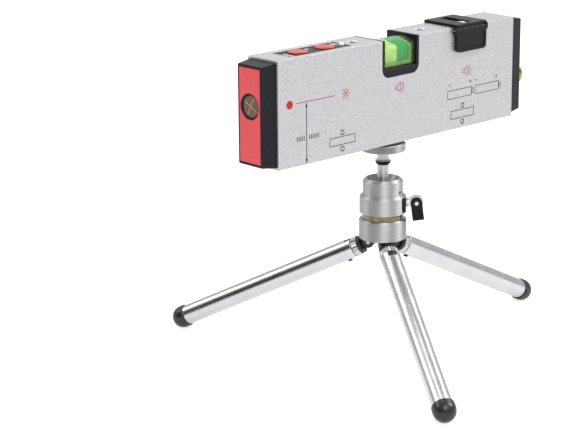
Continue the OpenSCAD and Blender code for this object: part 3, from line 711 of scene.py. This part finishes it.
def battery_mark():
    """Two cells end to end with their poles marked."""
    p = Print("print_battery", BLACK_INK, front_face)
    low, high, w = 15.5, 19.6, 0.32
    p.outline(112.0, low, 129.3, high, w)
    p.outline(129.3 + w, low + 0.9, 130.6, high - 0.9, w)
    p.outline(132.0, low, 149.2, high, w)
    p.outline(149.2 + w, low + 0.9, 150.5, high - 0.9, w)
    poles, gap = 22.4, 0.18      # height of the pole marks, and half a stroke
    for u in (113.4, 132.6):
        p.bar(u - 0.7, poles, u + 0.7, poles, 0.35)
    for u in (128.4, 147.4):
        p.bar(u - 0.8, poles, u + 0.8, poles, 0.35)
        p.bar(u, poles + gap, u, 23.2, 0.35)
        p.bar(u, 21.6, u, poles - gap, 0.35)
    p.done()


def keypad_mark():
    """Short bars beside the buttons and round the battery light, in place of its words."""
    p = Print("print_keypad", SILVER_INK, keypad_face)
    for v in (-4.8, -3.4, -2.0, -0.6, 0.8):
        p.bar(13.0, v, 15.2, v, 0.6)
    for v in (2.6, 3.8):
        p.bar(29.2, v, 31.0, v, 0.5)
    p.outline(45.9, 1.4, 48.4, 4.2, 0.45)
    p.bar(46.4, 2.8, 47.9, 2.8, 0.45)
    p.done()


beam_mark()
keypad_mark()
height_mark()
magnet_mark("print_magnet_front", 32.2, 48.6, 5.6, 9.35)
magnet_mark("print_magnet_rear", 114.6, 131.0, 5.2, 9.2)
speaker_mark("print_sound_vial", 78.5, 27.0)
speaker_mark("print_sound_plumb", 125.5, 28.2)
battery_mark()

# ---- floor, light and world ----


FLOOR_COLOUR, FLOOR_GLOW = (0.4, 0.4, 0.4), 0.72


def make_floor():
    """A plain pale floor that gives off light, so that it shows white and without a shadow."""
    side = 6.0               # half its width
    mesh = bpy.data.meshes.new("floor")
    outline = [(-side, -side, 0), (side, -side, 0), (side, side, 0), (-side, side, 0)]
    mesh.from_pydata(outline, [], [(0, 1, 2, 3)])
    pale = Shader("floor", FLOOR_COLOUR, roughness=0.9, Emission_Strength=FLOOR_GLOW)
    pale.main.inputs["Emission Color"].default_value = (1, 1, 1, 1)
    mesh.materials.append(pale.material)
    floor = bpy.data.objects.new("floor", mesh)
    bpy.context.scene.collection.objects.link(floor)


def sun(name, azimuth, elevation, spread, power):
    """A wide soft light from one direction. Azimuth is measured from +X towards +Y."""
    a, e = math.radians(azimuth), math.radians(elevation)
    away = Vector((math.cos(a) * math.cos(e), math.sin(a) * math.cos(e), math.sin(e)))
    light = bpy.data.lights.new(name, "SUN")
    light.angle = math.radians(spread)
    light.energy = power
    lamp = bpy.data.objects.new(name, light)
    lamp.matrix_world = away.to_track_quat("Z", "Y").to_matrix().to_4x4()
    bpy.context.scene.collection.objects.link(lamp)


DARK_FROM, DARK_TO = 135.0, 212.0      # directions of the dark side of the studio, in degrees
DARK_EDGE = 10.0                       # half the width over which it fades
STUDIO_WHITE, STUDIO_DARK, STUDIO_POWER = (1.0, 1.0, 1.0), (0.01, 0.01, 0.015), 0.6


def make_world():
    """A white studio with one dark side, which gives turned metal its dark streak."""
    world = bpy.data.worlds.new("studio")
    world.use_nodes = True
    tree = world.node_tree
    new, link = tree.nodes.new, tree.links.new

    def maths(operation, a, b):
        """The output of one maths node. Each input is a number or another node's output."""
        made = new("ShaderNodeMath")
        made.operation = operation
        for socket, value in zip(made.inputs, (a, b)):
            if isinstance(value, (int, float)):
                socket.default_value = value
            else:
                link(value, socket)
        return made.outputs[0]

    split = new("ShaderNodeSeparateXYZ")
    link(new("ShaderNodeTexCoord").outputs["Generated"], split.inputs[0])
    turned = math.radians((DARK_FROM + DARK_TO) / 2)
    half = math.radians((DARK_TO - DARK_FROM) / 2)
    along = maths("ADD", maths("MULTIPLY", split.outputs[0], math.cos(turned)),
                  maths("MULTIPLY", split.outputs[1], math.sin(turned)))
    fade = new("ShaderNodeMapRange")
    fade.interpolation_type = "SMOOTHSTEP"
    fade.inputs["From Min"].default_value = math.cos(half + math.radians(DARK_EDGE))
    fade.inputs["From Max"].default_value = math.cos(half - math.radians(DARK_EDGE))
    link(along, fade.inputs["Value"])
    mix = new("ShaderNodeMix")
    mix.data_type = "RGBA"
    mix.inputs[6].default_value = (*STUDIO_WHITE, 1)
    mix.inputs[7].default_value = (*STUDIO_DARK, 1)
    link(fade.outputs["Result"], mix.inputs[0])
    background = tree.nodes["Background"]
    background.inputs["Strength"].default_value = STUDIO_POWER
    link(mix.outputs[2], background.inputs["Color"])
    bpy.context.scene.world = world


make_floor()
make_world()
# name, azimuth, elevation and spread in degrees, and power
for sun_row in (
    ("key", -122, 50, 34, 1.6),
    ("edge", -23, 45, 30, 2.1),
    ("low_back", 47, 25, 34, 0.12),
    ("high_back", 75, 58, 34, 0.8),
    ("left", 122, 38, 26, 0.5),
):
    sun(*sun_row)
bpy.context.scene.view_settings.view_transform = "Standard"
